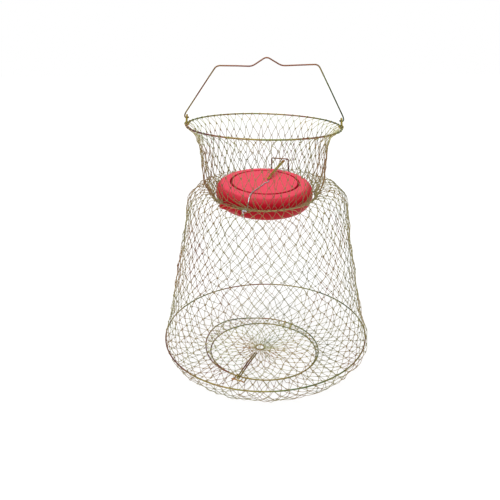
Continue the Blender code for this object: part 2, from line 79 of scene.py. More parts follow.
CELLS = 52                    # zig-zags round every course
LEG = 0.0147                  # straight length of wire between two knots
DOOR_CELLS = 32
DOOR_LEG = 0.0122
LUG_OPENING = (233.0, 19.0, 31.0)   # loops stand aside for the lid's lug: azimuth, half gap, reach
LUG_OPENING_RISE = 0.0035
CROWN_LENGTH = 0.060          # the shoulder's crown, from the throat ring, sags in front
CROWN_SAG = 0.0110
KNOT_HALF_WIDTH = 0.0008
KNOT_OVERSHOOT = 0.0014       # how far a loop reaches past the loop that it hooks
KNOT_OFFSET = 0.00042         # a leg's distance from the netting's middle surface
NODE_JITTER = (0.0013, 0.0010, 0.0010)   # along the course, across it, and in depth
LEG_WAVE = 0.0006             # how far a leg's middle bends
SMALL_HALF_CELL = 0.0045      # meshes narrower than this wander less
NET_SIDES = 5
WRAP_WIDTH = 0.0022           # along the ring, of a loop's windings round it

DOOR_UNDERSIZE = 0.980        # the door ring is bent a little under size, and lies a little aside
DOOR_SHIFT = (0.0014, 0.0006)
DOOR_LIFT = 0.008             # one side of it is bent up
DOOR_LIFT_AZIMUTH = 150.0
DOOR_BAR_DISTANCE = 0.1030    # the door keeper's bar, from the opening's centre
FRAME_OVAL = (0.045, -25.0)   # hand-bent rings: how far out of round, and azimuth of the long axis
DOOR_OVAL = (0.045, -38.0)
HANDLE_LEAN = 0.0026          # the handle's bends stand to one side

LID_TILT = 2.6                # up, away from the hinge
LID_ROLL = 4.5                # the loose hinge lets the lid lie askew
LID_RADIUS = 0.0742
LID_HALF_HEIGHT = 0.0155
LID_ROUNDING = 0.0145
LID_BOTTOM_HALF_HEIGHT = 0.0200
LID_BOTTOM_ROUNDING = 0.0125
LID_WALL = 0.0016
LID_PANEL_RISE = 0.0004       # the panel inside the groove stands a little proud
LID_CENTRE_INWARD = 0.0776
LID_CENTRE_RISE = 0.0026
GROOVE_RADIUS = 0.0514
GROOVE_HALF_WIDTH = 0.0013
GROOVE_DEPTH = 0.0026
CATCH_ROOT = (0.0092, 5.0)    # on the lid: distance from its middle, and azimuth from the hinge line
CATCH_TIP = (0.0712, 63.5, 0.3195)   # distance from the basket's axis, azimuth and height
LUG_INNER = 0.0040
LUG_OUTER = 0.0060
LUG_WIDTH = 0.0370
LUG_ARC = (-200.0, -45.0)     # where the lug's channel starts and ends round its pin
LUG_RIB = 0.0003              # how proud the end ribs stand
CLEAN_EDGE = 50.0             # edges sharper than this stay crisp


# ---- Places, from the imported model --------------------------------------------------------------
def ring_place(node, wire):
    """Centre, radius and height of a ring's wire."""
    low, high = (Vector(corner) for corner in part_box(node))
    middle = (low + high) / 2
    return (middle.x, middle.y), (high.y - low.y) / 2 - wire, middle.z


def joint_place(name):
    row = next(joint for joint in frame["joints"] if joint["name"] == name)
    return Vector(row["pos_m"]), Vector(row["axis"]).normalized()


_, TOP_RADIUS, TOP_HEIGHT = ring_place("top_ring", RING_WIRE)
_, THROAT_RADIUS, THROAT_HEIGHT = ring_place("throat_ring", THIN_RING_WIRE)
_, BOTTOM_RADIUS, BOTTOM_HEIGHT = ring_place("bottom_ring", RING_WIRE)
FRAME_CENTRE, FRAME_RADIUS, FRAME_HEIGHT = ring_place("door_frame_ring", THIN_RING_WIRE)
DOOR_CENTRE, DOOR_RADIUS, _ = ring_place("door_ring", THIN_RING_WIRE)
DOOR_RADIUS *= DOOR_UNDERSIZE
DOOR_CENTRE = (DOOR_CENTRE[0] + DOOR_SHIFT[0], DOOR_CENTRE[1] + DOOR_SHIFT[1])
DOOR_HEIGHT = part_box("door_ring")[0][2] + THIN_RING_WIRE
EYELET_CENTRE, EYELET_RADIUS, EYELET_HEIGHT = ring_place("door_centre_ring", EYELET_WIRE)
RIM_AXIS = joint_place("handle_swing")[1]
RIM_SLOPE = -RIM_AXIS.z / RIM_AXIS.x
RIM = (Matrix.Translation((0, 0, TOP_HEIGHT)) @ Matrix.Rotation(math.atan(RIM_SLOPE), 4, "Y")
       @ Matrix.Translation((0, 0, -TOP_HEIGHT)))


# ---- Shapes -------------------------------------------------------------------------------------
def linked(name, data):
    item = bpy.data.objects.new(name, data)
    bpy.context.scene.collection.objects.link(item)
    return item


def mesh_object(name, verts, faces, material):
    mesh = bpy.data.meshes.new(name)
    mesh.from_pydata([tuple(vert) for vert in verts], [], faces)
    mesh.validate()
    mesh.materials.append(material)
    return linked(name, mesh)


def solid_object(name, verts, faces, material):
    """A smooth closed mesh whose faces all point outwards."""
    item = mesh_object(name, verts, faces, material)
    item.data.shade_smooth()
    mesh = bmesh.new()
    mesh.from_mesh(item.data)
    bmesh.ops.recalc_face_normals(mesh, faces=mesh.faces)
    mesh.to_mesh(item.data)
    mesh.free()
    return item


def grid_faces(rows, columns):
    """Quads between rows of vertices that each close on themselves."""
    return [(row * columns + step, (row + 1) * columns + step, (row + 1) * columns + (step + 1) % columns,
             row * columns + (step + 1) % columns) for row in range(rows - 1) for step in range(columns)]


def quads_object(name, verts, quads, caps, material):
    """A mesh from arrays: verts (n, 3), quads (m, 4), and end caps as lists of vertex numbers."""
    mesh = bpy.data.meshes.new(name)
    loops = np.concatenate([quads.reshape(-1)] + [np.array(cap) for cap in caps])
    sizes = np.concatenate([np.full(len(quads), 4), np.array([len(cap) for cap in caps], int)])
    starts = np.concatenate([[0], np.cumsum(sizes)[:-1]])
    mesh.vertices.add(len(verts))
    mesh.vertices.foreach_set("co", verts.astype(np.float32).reshape(-1))
    mesh.loops.add(len(loops))
    mesh.loops.foreach_set("vertex_index", loops.astype(np.int32))
    mesh.polygons.add(len(sizes))
    mesh.polygons.foreach_set("loop_start", starts.astype(np.int32))
    mesh.update(calc_edges=True)
    mesh.validate()
    mesh.shade_smooth()
    mesh.materials.append(material)
    return linked(name, mesh)


def tube_rings(points, radius, sides, side, closed):
    """Rings of vertices round a path; side is a direction across the path at each point."""
    if closed:
        along = np.roll(points, -1, axis=0) - np.roll(points, 1, axis=0)
    else:
        along = np.gradient(points, axis=0)
    along /= np.linalg.norm(along, axis=1, keepdims=True)
    across = side - along * np.sum(side * along, axis=1, keepdims=True)
    across /= np.linalg.norm(across, axis=1, keepdims=True)
    third = np.cross(along, across)
    angles = TAU * np.arange(sides) / sides
    radius = np.broadcast_to(np.asarray(radius, float), (len(points),))[:, None, None]
    ring = (across[:, None, :] * np.cos(angles)[None, :, None]
            + third[:, None, :] * np.sin(angles)[None, :, None])
    return points[:, None, :] + ring * radius


class Tubes:
    """Collects tubes into one mesh."""

    def __init__(self):
        self.verts, self.quads, self.caps, self.count = [], [], [], 0

    def add(self, points, radius, sides, side, closed):
        rings = tube_rings(points, radius, sides, side, closed)
        rows = len(rings)
        here = np.arange(rows if closed else rows - 1)
        there = (here + 1) % rows
        first = np.arange(sides)
        second = (first + 1) % sides
        base = self.count
        quad = np.stack([here[:, None] * sides + first, here[:, None] * sides + second,
                         there[:, None] * sides + second, there[:, None] * sides + first], axis=-1)
        self.quads.append(quad.reshape(-1, 4) + base)
        if not closed:
            self.caps.append([base + step for step in range(sides)][::-1])
            self.caps.append([base + (rows - 1) * sides + step for step in range(sides)])
        self.verts.append(rings.reshape(-1, 3))
        self.count += rows * sides

    def build(self, name, material):
        return quads_object(name, np.concatenate(self.verts), np.concatenate(self.quads), self.caps,
                            material)


def carried_side(points, closed):
    """A direction across the path, carried along it without twist."""
    along = np.roll(points, -1, axis=0) - points if closed else np.gradient(points, axis=0)
    along = [Vector(row).normalized() for row in along]
    side = along[0].orthogonal().normalized()
    rows = [side]
    for before, after in zip(along, along[1:]):
        side = before.rotation_difference(after) @ side
        side = (side - after * side.dot(after)).normalized()
        rows.append(side)
    if closed:
        last = along[-1].rotation_difference(along[0]) @ rows[-1]
        twist = math.atan2(last.cross(rows[0]).dot(along[0]), last.dot(rows[0]))
        rows = [Matrix.Rotation(twist * step / len(rows), 3, tangent) @ row
                for step, (row, tangent) in enumerate(zip(rows, along))]
    return np.array([tuple(row) for row in rows])


def wire(name, points, radius, material, closed=False, sides=12):
    points = np.array([tuple(point) for point in points], float)
    radii = np.full(len(points), radius)
    if not closed:
        steps = np.array([points[0] - points[1], points[-1] - points[-2]])
        steps *= radius * END_REACH / np.linalg.norm(steps, axis=1, keepdims=True)
        points = np.concatenate([[points[0] + steps[0]], points, [points[-1] + steps[1]]])
        radii = radius * np.concatenate([[END_RADIUS], np.ones(len(radii)), [END_RADIUS]])
    tubes = Tubes()
    tubes.add(points, radii, sides, carried_side(points, closed), closed)
    return tubes.build(name, material)


def polar(radius, azimuth, height, centre=(0.0, 0.0)):
    angle = math.radians(azimuth)
    return Vector((centre[0] + radius * math.cos(angle), centre[1] + radius * math.sin(angle), height))


def directions(azimuth):
    """Outward at an azimuth, and along the ring there."""
    outward = polar(1.0, azimuth, 0.0)
    return outward, Vector((-outward.y, outward.x, 0.0))


def angles_between(first, last, steps):
    """Evenly spaced angles in radians, from two in degrees."""
    return [math.radians(first + (last - first) * step / steps) for step in range(steps + 1)]


def bent(points, bend, steps=8):
    """Round the inner corners of a route with curves that start bend before each corner."""
    points = [Vector(point) for point in points]
    route = [points[0]]
    for before, corner, after in zip(points, points[1:], points[2:]):
        reach_in = min(bend, (before - corner).length * 0.48)
        reach_out = min(bend, (after - corner).length * 0.48)
        start = corner + (before - corner).normalized() * reach_in
        end = corner + (after - corner).normalized() * reach_out
        for step in range(steps + 1):
            t = step / steps
            route.append(start * (1 - t) ** 2 + corner * 2 * t * (1 - t) + end * t * t)
    return route + [points[-1]]


def fine(points, spacing):
    """Add points along straight stretches, so that a wire can be hand-bent slightly."""
    route = [points[0]]
    for here, there in zip(points, points[1:]):
        count = max(1, int((there - here).length / spacing))
        route += [here.lerp(there, step / count) for step in range(1, count + 1)]
    return route


def smooth_through(points, steps):
    """Catmull-Rom curve through rows of numbers."""
    rows = np.array([tuple(point) for point in points], float)
    rows = np.concatenate([[2 * rows[0] - rows[1]], rows, [2 * rows[-1] - rows[-2]]])
    result = []
    for a, b, c, d in zip(rows, rows[1:], rows[2:], rows[3:]):
        for step in range(steps):
            t = step / steps
            result.append(0.5 * (2 * b + (c - a) * t + (2 * a - 5 * b + 4 * c - d) * t * t
                                 + (3 * b - a - 3 * c + d) * t ** 3))
    return np.array(result + [rows[-2]])


def slow_wave(azimuths, terms, size, seed):
    """A smooth closed wobble round a ring."""
    draw = np.random.default_rng(seed)
    total = np.zeros_like(azimuths)
    for order in range(2, 2 + terms):
        total += draw.normal() * np.cos(order * azimuths + draw.uniform(0, TAU)) / order
    return total * size


def oval_factor(azimuths, oval):
    size, long_axis = oval
    return 1.0 + size * np.cos(2.0 * (azimuths - math.radians(long_axis)))


def ring(name, place, wire_radius, material, seed, steps=200, lift=None, oval=(0.0, 0.0)):
    """A hand-closed ring: not quite round, and not quite flat."""
    centre, radius, height = place
    azimuths = TAU * np.arange(steps) / steps
    radii = radius * oval_factor(azimuths, oval) + slow_wave(azimuths, 6, 0.00035, seed)
    heights = height + slow_wave(azimuths, 5, 0.00025, seed + 1)
    if lift is not None:
        heights = heights + lift(azimuths)
    points = np.stack([centre[0] + radii * np.cos(azimuths), centre[1] + radii * np.sin(azimuths), heights],
                      axis=1)
    return wire(name, points, wire_radius, material, closed=True)


def rim_lift(azimuths):
    return -RIM_SLOPE * TOP_RADIUS * np.cos(azimuths)


def door_lift(azimuths):
    away = np.abs((np.degrees(azimuths) - DOOR_LIFT_AZIMUTH + 180.0) % 360.0 - 180.0)
    return DOOR_LIFT * np.cos(np.radians(np.minimum(away * 1.5, 90.0))) ** 2


# ---- Netting ------------------------------------------------------------------------------------
class Surface:
    """A turned surface that netting lies on. Its section's rows are radius, height and centre (or none)."""

    def __init__(self, section, outward=1.0, lift=None, stretch=None):
        table = smooth_through([(*row, 0.0, 0.0)[:4] for row in section], 24)
        steps = np.linalg.norm(np.diff(table[:, :2], axis=0), axis=1)
        self.length = np.concatenate([[0.0], np.cumsum(steps)])
        self.table = table
        along = np.gradient(table[:, :2], axis=0)
        along /= np.linalg.norm(along, axis=1, keepdims=True) + 1e-12
        self.normal = outward * np.stack([-along[:, 1], along[:, 0]], axis=1)
        self.lift = lift
        self.stretch = stretch

    def read(self, length, column):
        return np.interp(length, self.length, self.table[:, column])

    def place(self, length, azimuth, depth):
        radius, height = self.read(length, 0), self.read(length, 1)
        normal_r = np.interp(length, self.length, self.normal[:, 0])
        normal_z = np.interp(length, self.length, self.normal[:, 1])
        radius = radius + depth * normal_r
        height = height + depth * normal_z
        if self.lift is not None:
            height = height + self.lift(azimuth, length)
        if self.stretch is not None:
            radius = radius * self.stretch(azimuth, length)
        x = self.read(length, 2) + radius * np.cos(azimuth)
        y = self.read(length, 3) + radius * np.sin(azimuth)
        height = np.maximum(height, NET_WIRE + 0.00005)
        points = np.stack([x, y, height], axis=1)
        side = np.stack([normal_r * np.cos(azimuth), normal_r * np.sin(azimuth), normal_z], axis=1)
        return points, side


class Netting:
    """Courses of zig-zag wire on a surface. The first and the last level of knots hook over rings."""

    def __init__(self, surface, first_wire, last_wire, seed, cells=CELLS, leg=LEG, opening=None):
        self.surface = surface
        self.opening = opening
        self.cells = cells
        self.wires = (first_wire, last_wire)
        self.draw = np.random.default_rng(seed)
        levels = [0.0]
        while levels[-1] < surface.length[-1]:
            half_cell = math.pi * float(surface.read(levels[-1], 0)) / cells
            levels.append(levels[-1] + math.sqrt(leg ** 2 - half_cell ** 2))
        if levels[-1] - surface.length[-1] > 0.5 * (levels[-1] - levels[-2]):
            levels.pop()
        self.levels = np.array(levels) * surface.length[-1] / levels[-1]
        self.count = len(self.levels)
        shape = (self.count, cells)
        self.slide, self.drop, self.depth = (self.draw.normal(size=shape).clip(-1.8, 1.8) * size
                                             for size in NODE_JITTER)
        for table in (self.slide, self.drop, self.depth):
            table[0] *= 0.4
            table[-1] *= 0.4
        self.drop[0] = self.drop[-1] = 0.0
        self.depth[0] = self.depth[-1] = 0.0

    def knot(self, level, number):
        """Length, azimuth and depth of a knot, and its half width, overshoot and offset."""
        number = number % self.cells
        base = self.levels[level]
        radius = self.surface.read(base, 0)
        half_cell = math.pi * radius / self.cells
        tight = min(1.0, half_cell / SMALL_HALF_CELL)
        azimuth = (TAU * (number + 0.5 * (level % 2)) / self.cells
                   + self.slide[level, number] * tight / radius)
        length = base + self.drop[level, number]
        if self.opening and level < 2:
            middle, gap, reach = (math.radians(value) for value in self.opening)
            away = (azimuth - middle + math.pi) % TAU - math.pi
            if level == 0:
                aside = np.sign(away) * (gap + np.abs(away) * (1.0 - gap / reach))
                azimuth = np.where(np.abs(away) < reach, azimuth - away + aside, azimuth)
            else:
                length = length + LUG_OPENING_RISE * np.exp(-(away / (0.45 * gap)) ** 2)
        overshoot, offset = KNOT_OVERSHOOT, KNOT_OFFSET
        if level in (0, self.count - 1):
            overshoot = offset = self.wires[0 if level == 0 else 1] + NET_WIRE
        half_width = min(KNOT_HALF_WIDTH, half_cell * 0.42) / radius
        return length, azimuth, self.depth[level, number], half_width, overshoot, offset

    def course(self, level):
        """One closed course between two levels, as rows of length, azimuth and depth."""
        odd = level % 2
        number = np.arange(self.cells)
        low = self.knot(level, number)
        high = self.knot(level + 1, number + odd)
        low_next = self.knot(level, number + 1)
        high_azimuth = high[1] + np.where(number + odd >= self.cells, TAU, 0.0)
        next_azimuth = low_next[1] + np.where(number + 1 >= self.cells, TAU, 0.0)

        def corner(knot, azimuth, side, up, leg):
            """Three points from a knot's apex on to its leg; side, up and leg are +1 or -1."""
            length, _, depth, half_width, overshoot, offset = knot
            return [(length + up * overshoot * reach, azimuth + side * half_width * aside,
                     depth + leg * offset * apart)
                    for aside, reach, apart in ((0.0, 1.0, 0.0), (0.75, 0.62, 0.8), (1.0, -0.35, 1.0))]

        rising = corner(low, low[1], 1, -1, -1)
        rising_end = corner(high, high_azimuth, -1, 1, -1)
        falling = corner(high, high_azimuth, 1, 1, 1)
        falling_end = corner(low_next, next_azimuth, -1, -1, 1)
        points = rising + [self.middle(rising[-1], rising_end[-1]), rising_end[2], rising_end[1]]
        points += falling + [self.middle(falling[-1], falling_end[-1]), falling_end[2], falling_end[1]]
        columns = [np.stack([np.broadcast_to(part, (self.cells,)) for part in row], axis=1)
                   for row in points]
        return np.stack(columns, axis=1).reshape(-1, 3)

    def middle(self, here, there):
        wave = self.draw.normal(size=(2, self.cells)) * LEG_WAVE
        radius = self.surface.read((here[0] + there[0]) / 2, 0)
        tight = np.minimum(1.0, math.pi * radius / self.cells / SMALL_HALF_CELL)
        return ((here[0] + there[0]) / 2 + wave[0] * tight,
                (here[1] + there[1]) / 2 + wave[0] * tight / radius, (here[2] + there[2]) / 2 + wave[1])

    def add_wraps(self, tubes, level, ring_azimuths, ring_points, ring_wire, turns=1.6, every=1):
        """Short windings of the loop's wire round the ring beside the knots."""
        azimuth = self.knot(level, np.arange(self.cells))[1]
        spins = self.draw.uniform(0, TAU, self.cells)
        widths = self.draw.uniform(0.8, 1.4, self.cells)
        centre, radii, heights = ring_points
        share = np.linspace(0, 1, 15)
        reach = ring_wire + NET_WIRE * 0.9
        for start, spin, width in list(zip(azimuth, spins, widths))[::every]:
            angle = spin + share * TAU * turns
            around = (start + (share - 0.5) * WRAP_WIDTH * width / radii.mean()) % TAU
            radial = np.interp(around, ring_azimuths, radii, period=TAU) + reach * np.cos(angle)
            height = np.interp(around, ring_azimuths, heights, period=TAU) + reach * np.sin(angle)
            points = np.stack([centre[0] + radial * np.cos(around), centre[1] + radial * np.sin(around),
                               height], axis=1)
            away = np.stack([np.cos(around) * np.cos(angle), np.sin(around) * np.cos(angle), np.sin(angle)],
                            axis=1)
            tubes.add(points, NET_WIRE, NET_SIDES, away, False)

    def piece(self, name, first, last, material, wraps=()):
        tubes = Tubes()
        for level in range(first, last):
            rows = self.courses[level]
            points, side = self.surface.place(rows[:, 0], rows[:, 1], rows[:, 2])
            tubes.add(points, NET_WIRE, NET_SIDES, side, True)
        for wrap in wraps:
            self.add_wraps(tubes, *wrap)
        return tubes.build(name, material)

    def weave(self):
        self.courses = [self.course(level) for level in range(self.count - 1)]
        return self

    def level_near(self, height, first=0):
        heights = self.surface.read(self.levels[first:], 1)
        return first + int(np.argmin(np.abs(heights - height)))

    def height(self, level):
        return float(self.surface.read(self.levels[level], 1))


def ring_track(place, lift=None, oval=(0.0, 0.0), steps=360):
    centre, radius, height = place
    azimuths = TAU * np.arange(steps) / steps
    heights = np.full(steps, height) + (lift(azimuths) if lift is not None else 0.0)
    return azimuths, (centre, radius * oval_factor(azimuths, oval), heights)


# ---- Materials ----------------------------------------------------------------------------------
def feed(tree, node, inputs):
    """Give each input its value, or link it to the socket that it is given."""
    for key, value in inputs.items():
        if isinstance(value, bpy.types.NodeSocket):
            tree.links.new(value, node.inputs[key])
        else:
            node.inputs[key].default_value = value


def add(tree, kind, output, inputs, operation=None):
    node = tree.nodes.new("ShaderNode" + kind)
    if operation:
        node.operation = operation
    feed(tree, node, inputs)
    return node.outputs[output]


def noise(tree, source, scale, detail, offset=(0.0, 0.0, 0.0), stretch=(1.0, 1.0, 1.0)):
    place = add(tree, "Mapping", "Vector", {"Location": offset, "Scale": stretch, "Vector": source})
    return add(tree, "TexNoise", "Fac", {"Scale": scale, "Detail": detail, "Vector": place})


def ramp(tree, source, stops):
    node = tree.nodes.new("ShaderNodeValToRGB")
    node.color_ramp.interpolation = "EASE"
    elements = node.color_ramp.elements
    while len(elements) < len(stops):
        elements.new(0.5)
    for element, (position, colour) in zip(elements, stops):
        element.position = position
        element.color = (*colour, 1.0)
    feed(tree, node, {"Fac": source})
    return node.outputs["Color"]


def spread(tree, source, low, high):
    return add(tree, "MapRange", "Result", {"To Min": low, "To Max": high, "Value": source})


def bump(tree, source, strength, distance):
    return add(tree, "Bump", "Normal", {"Strength": strength, "Distance": distance, "Height": source})


def new_material(name):
    material = bpy.data.materials.new(name)
    material.use_nodes = True
    tree = material.node_tree
    return material, tree, tree.nodes["Principled BSDF"], add(tree, "TexCoord", "Object", {})


def plated_wire_material(name, offset, scale, stops, metallic=0.85, drift=0.0):
    """Yellow passivated zinc in patches of several colours; drift shifts them along X."""
    material, tree, shader, source = new_material(name)
    along = add(tree, "SeparateXYZ", "X", {"Vector": source})
    patches = add(tree, "Math", "Value", {0: along, 1: drift, 2: noise(tree, source, scale, 3.0, offset)},
                  "MULTIPLY_ADD")
    grain = noise(tree, source, 700.0, 4.0)
    feed(tree, shader, {"Base Color": ramp(tree, patches, stops), "Metallic": metallic,
                        "Roughness": spread(tree, grain, 0.24, 0.46),
                        "Normal": bump(tree, grain, 0.25, 0.0001)})
    return material


def red_plastic_material(name, deep, lit, roughness):
    """Moulded plastic: paler where it faces up and deep red on its sides, a painted sheen and shade, with a
    little random tone.
    """
    material, tree, shader, source = new_material(name)
    # Painted sheen: the colour turns paler as the face turns up, plus a little random tone.
    facing = add(tree, "SeparateXYZ", "Z", {"Vector": add(tree, "TexCoord", "Normal", {})})
    tone_and_sheen_mix = add(tree, "Math", "Value", {0: noise(tree, source, 38.0, 4.0), 1: 0.12, 2: facing},
                "MULTIPLY_ADD")
    between = [(a * 2 + b) / 3 for a, b in zip(deep, lit)]
    scuffs = noise(tree, source, 90.0, 6.0, stretch=(1.0, 3.0, 1.0))
    feed(tree, shader, {"Base Color": ramp(tree, tone_and_sheen_mix, ((0.30, deep), (0.84, between), (1.05, lit))),
                        "Roughness": spread(tree, scuffs, *roughness), "Specular IOR Level": 0.14,
                        "Normal": bump(tree, noise(tree, source, 1500.0, 3.0), 0.18, 0.00015)})
    return material


def spring_material():
    material, tree, shader, source = new_material("bright_spring_wire")
    grain = noise(tree, source, 500.0, 3.0)
    colour = ramp(tree, grain, ((0.3, (0.52, 0.53, 0.56)), (0.7, (0.78, 0.80, 0.82))))
    feed(tree, shader, {"Base Color": colour, "Roughness": spread(tree, grain, 0.14, 0.30),
                        "Metallic": 1.0})
    return material


PLATED = plated_wire_material(
    "plated_wire_look", (0.3, 0.1, 0.7), 9.0,
    ((0.32, (0.15, 0.045, 0.050)), (0.42, (0.24, 0.095, 0.045)), (0.50, (0.29, 0.22, 0.055)),
     (0.58, (0.17, 0.20, 0.055)), (0.70, (0.09, 0.13, 0.060))), drift=0.9)
DARK_PLATED = plated_wire_material(
    "dark_plated_look", (0.9, 0.2, 0.1), 30.0,
    ((0.35, (0.10, 0.03, 0.02)), (0.6, (0.16, 0.07, 0.03))))
GOLD_PLATED = plated_wire_material(
    "gold_plated_look", (0.2, 0.8, 0.4), 40.0,
    ((0.38, (0.40, 0.17, 0.04)), (0.58, (0.40, 0.33, 0.06))))
NETTING = plated_wire_material(
    "netting_wire_look", (0.6, 0.4, 0.2), 14.0,
    ((0.32, (0.29, 0.140, 0.080)), (0.45, (0.35, 0.245, 0.105)), (0.55, (0.34, 0.305, 0.130)),
     (0.70, (0.28, 0.275, 0.180))), 0.6, 0.3)
OLIVE_PLATED = plated_wire_material(
    "olive_plated_look", (0.5, 0.6, 0.1), 16.0,
    ((0.35, (0.38, 0.25, 0.08)), (0.50, (0.36, 0.38, 0.14)), (0.62, (0.30, 0.36, 0.13))), 0.7)
# A paler copy of the netting's colours for the mouth and the door: painted light.
PAINTED_LIGHT_NETTING = plated_wire_material(
    "painted_light_netting_look", (0.1, 0.5, 0.9), 18.0,
    ((0.32, (0.42, 0.24, 0.12)), (0.45, (0.46, 0.38, 0.17)), (0.55, (0.44, 0.44, 0.20)),
     (0.70, (0.40, 0.44, 0.30))), 0.6)
# Paler on up-facing faces and deep red on the sides: painted sheen and shade.
RED = red_plastic_material("moulded_red", (0.46, 0.001, 0.012), (0.74, 0.058, 0.100), (0.32, 0.50))
# Darker red for the groove: painted shade in the recess.
GROOVE_PAINTED_SHADE = red_plastic_material("groove_painted_shade", (0.20, 0.001, 0.006), (0.26, 0.002, 0.010), (0.60, 0.75))
SPRING = spring_material()


def put(piece, body, *nodes, slot="plated_wire"):
    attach(piece, body)
    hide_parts(*nodes)


# ---- Rings and small wires ----------------------------------------------------------------------
TOP = ((0.0, 0.0), TOP_RADIUS, TOP_HEIGHT)
THROAT = ((0.0, 0.0), THROAT_RADIUS, THROAT_HEIGHT)
BOTTOM = ((0.0, 0.0), BOTTOM_RADIUS, BOTTOM_HEIGHT)
DOOR_FRAME = (FRAME_CENTRE, FRAME_RADIUS, FRAME_HEIGHT)
DOOR = (DOOR_CENTRE, DOOR_RADIUS, DOOR_HEIGHT)
EYELET = (EYELET_CENTRE, EYELET_RADIUS, EYELET_HEIGHT)
put(ring("top_ring_wire", TOP, RING_WIRE, PLATED, 1, lift=rim_lift), "rim", "top_ring")
put(ring("throat_ring_wire", THROAT, THIN_RING_WIRE, OLIVE_PLATED, 3), "throat", "throat_ring")
put(ring("bottom_ring_wire", BOTTOM, RING_WIRE, PLATED, 5), "base", "bottom_ring")
put(ring("door_frame_wire", DOOR_FRAME, THIN_RING_WIRE, PLATED, 7, oval=FRAME_OVAL), "base",
    "door_frame_ring")
put(ring("door_ring_wire", DOOR, THIN_RING_WIRE, PLATED, 9, lift=door_lift, oval=DOOR_OVAL),
    "floor_door", "door_ring")
put(ring("eyelet_wire", EYELET, EYELET_WIRE, GOLD_PLATED, 11, steps=64), "floor_door",
    "door_centre_ring")


def wrap_points(centre, outward, reach, first, last, steps=10):
    """Points round a ring's wire, in the plane of outward and up; angles from outward towards up."""
    angles = angles_between(first, last, steps)
    return [centre + outward * reach * math.cos(angle) + UP * reach * math.sin(angle) for angle in angles]


def hairpin(root, tip, half_width, bow=0.0, steps=10):
    """A double wire from root to tip and back; bow lifts its middle."""
    along = (tip - root).normalized()
    across = along.cross(UP).normalized()
    lift = across.cross(along).normalized()
    turn = tip - along * half_width

    def leg(side):
        return [root.lerp(turn, step / 8) + across * side * half_width
                + lift * bow * math.sin(math.pi * step / 8) for step in range(8)]
    crown = [turn + across * half_width * math.cos(math.pi * step / steps)
             + along * half_width * math.sin(math.pi * step / steps) for step in range(steps + 1)]
    return leg(1) + crown + leg(-1)[::-1]


def make_ear(name, side, node):
    ear_x, half_width, top = TOP_RADIUS - 0.0005, 0.0040, TOP_HEIGHT + 0.0120
    outward = Vector((side, 0.0, 0.0))
    reach = RING_WIRE + GAP + STAPLE_WIRE
    legs = []
    for end in (-1, 1):
        across = end * half_width
        base = Vector((side * math.sqrt(TOP_RADIUS ** 2 - across ** 2), across, TOP_HEIGHT))
        foot = wrap_points(base, outward, reach, -200, 80, 16)
        corner = Vector((side * ear_x, across, top))
        crown = Vector((side * ear_x, 0.0, top))
        legs.append(foot + bent([foot[-1] + UP * 0.001, corner, crown], 0.0036)[:-1])
    points = [RIM @ point for point in legs[0] + legs[1][::-1]]
    put(wire(name, points, STAPLE_WIRE, GOLD_PLATED), "rim", node)


make_ear("left_ear_wire", -1, "handle_ear_left")
make_ear("right_ear_wire", 1, "handle_ear_right")


def make_handle():
    axis_height = joint_place("handle_swing")[0].z
    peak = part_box("handle")[1][2] - HANDLE_WIRE
    end_x, leg_x, kink = TOP_RADIUS - 0.0026, TOP_RADIUS + 0.0028, axis_height + 0.0050
    sides = []
    for side in (-1, 1):
        corner = (side * 0.0712 + HANDLE_LEAN, 0, peak - 0.0092 + side * 0.0024)
        dip = (side * 0.0208 + HANDLE_LEAN * 0.7, 0, peak - 0.0107 + side * 0.0008)
        sides.append([(side * end_x, 0, axis_height + 0.0012), (side * end_x, 0, axis_height),
                      (side * leg_x, 0, axis_height), (side * leg_x, 0, kink), corner, dip])
    route = sides[0] + [(HANDLE_LEAN * 0.4, 0, peak + 0.0016)] + sides[1][::-1]
    points = [RIM @ point for point in fine(bent(route, 0.0055), 0.004)]
    share = np.linspace(0, 1, len(points))
    sway = 0.0005 * np.sin(share * 17.0) + 0.0004 * np.sin(share * 31.0 + 1.0)
    ease = np.clip(np.minimum(share, 1 - share) * 12 - 0.6, 0, 1)
    for point, offset in zip(points, sway * ease):
        point.y += offset
        point.z -= abs(offset) * 0.3
    put(wire("handle_wire", points, HANDLE_WIRE, PLATED), "handle", "handle")


make_handle()


def make_lid_keeper():
    azimuth, half_width, distance, height = 70.0, 0.0145, 0.0745, 0.3215
    outward, along = directions(azimuth)
    bar = outward * distance + UP * height
    reach = THIN_RING_WIRE + GAP + STAPLE_WIRE
    spread_angle = math.degrees(math.asin(half_width / THROAT_RADIUS))
    legs = []
    for side in (-1, 1):
        foot_azimuth = azimuth + side * spread_angle
        base = polar(THROAT_RADIUS, foot_azimuth, THROAT_HEIGHT)
        foot = wrap_points(base, polar(1.0, foot_azimuth, 0.0), reach, -210, 35, 16)
        corner = bar + along * side * half_width
        legs.append(foot + bent([foot[-1] + UP * 0.002, corner, bar], 0.0022)[:-1])
    put(wire("lid_keeper_wire", legs[0] + legs[1][::-1], STAPLE_WIRE, DARK_PLATED), "throat", "lid_keeper")


make_lid_keeper()


def make_door_keeper():
    azimuth, distance, bar_height, half_width = 246.6, DOOR_BAR_DISTANCE, 0.0125, 0.0095
    along = directions(azimuth)[1]
    bar = polar(distance, azimuth, bar_height, FRAME_CENTRE)
    reach = THIN_RING_WIRE + GAP + STAPLE_WIRE
    route = []
    for foot_azimuth, side in ((240.4, -1), (252.8, 1)):
        outward = polar(1.0, foot_azimuth, 0.0)
        radius = FRAME_RADIUS * oval_factor(math.radians(foot_azimuth), FRAME_OVAL)
        base = polar(radius, foot_azimuth, FRAME_HEIGHT, FRAME_CENTRE)
        foot = wrap_points(base, outward, reach, 200, 90)
        corner = bar + along * side * half_width
        knee = corner.lerp(foot[-1], 0.20)
        knee.z = foot[-1].z
        leg = foot + bent([foot[-1] + outward * 0.002, knee, corner, bar], 0.002)
        route += leg[:-1] if side == -1 else leg[:-1][::-1]
    put(wire("door_keeper_wire", route, STAPLE_WIRE, GOLD_PLATED), "base", "door_keeper")


make_door_keeper()


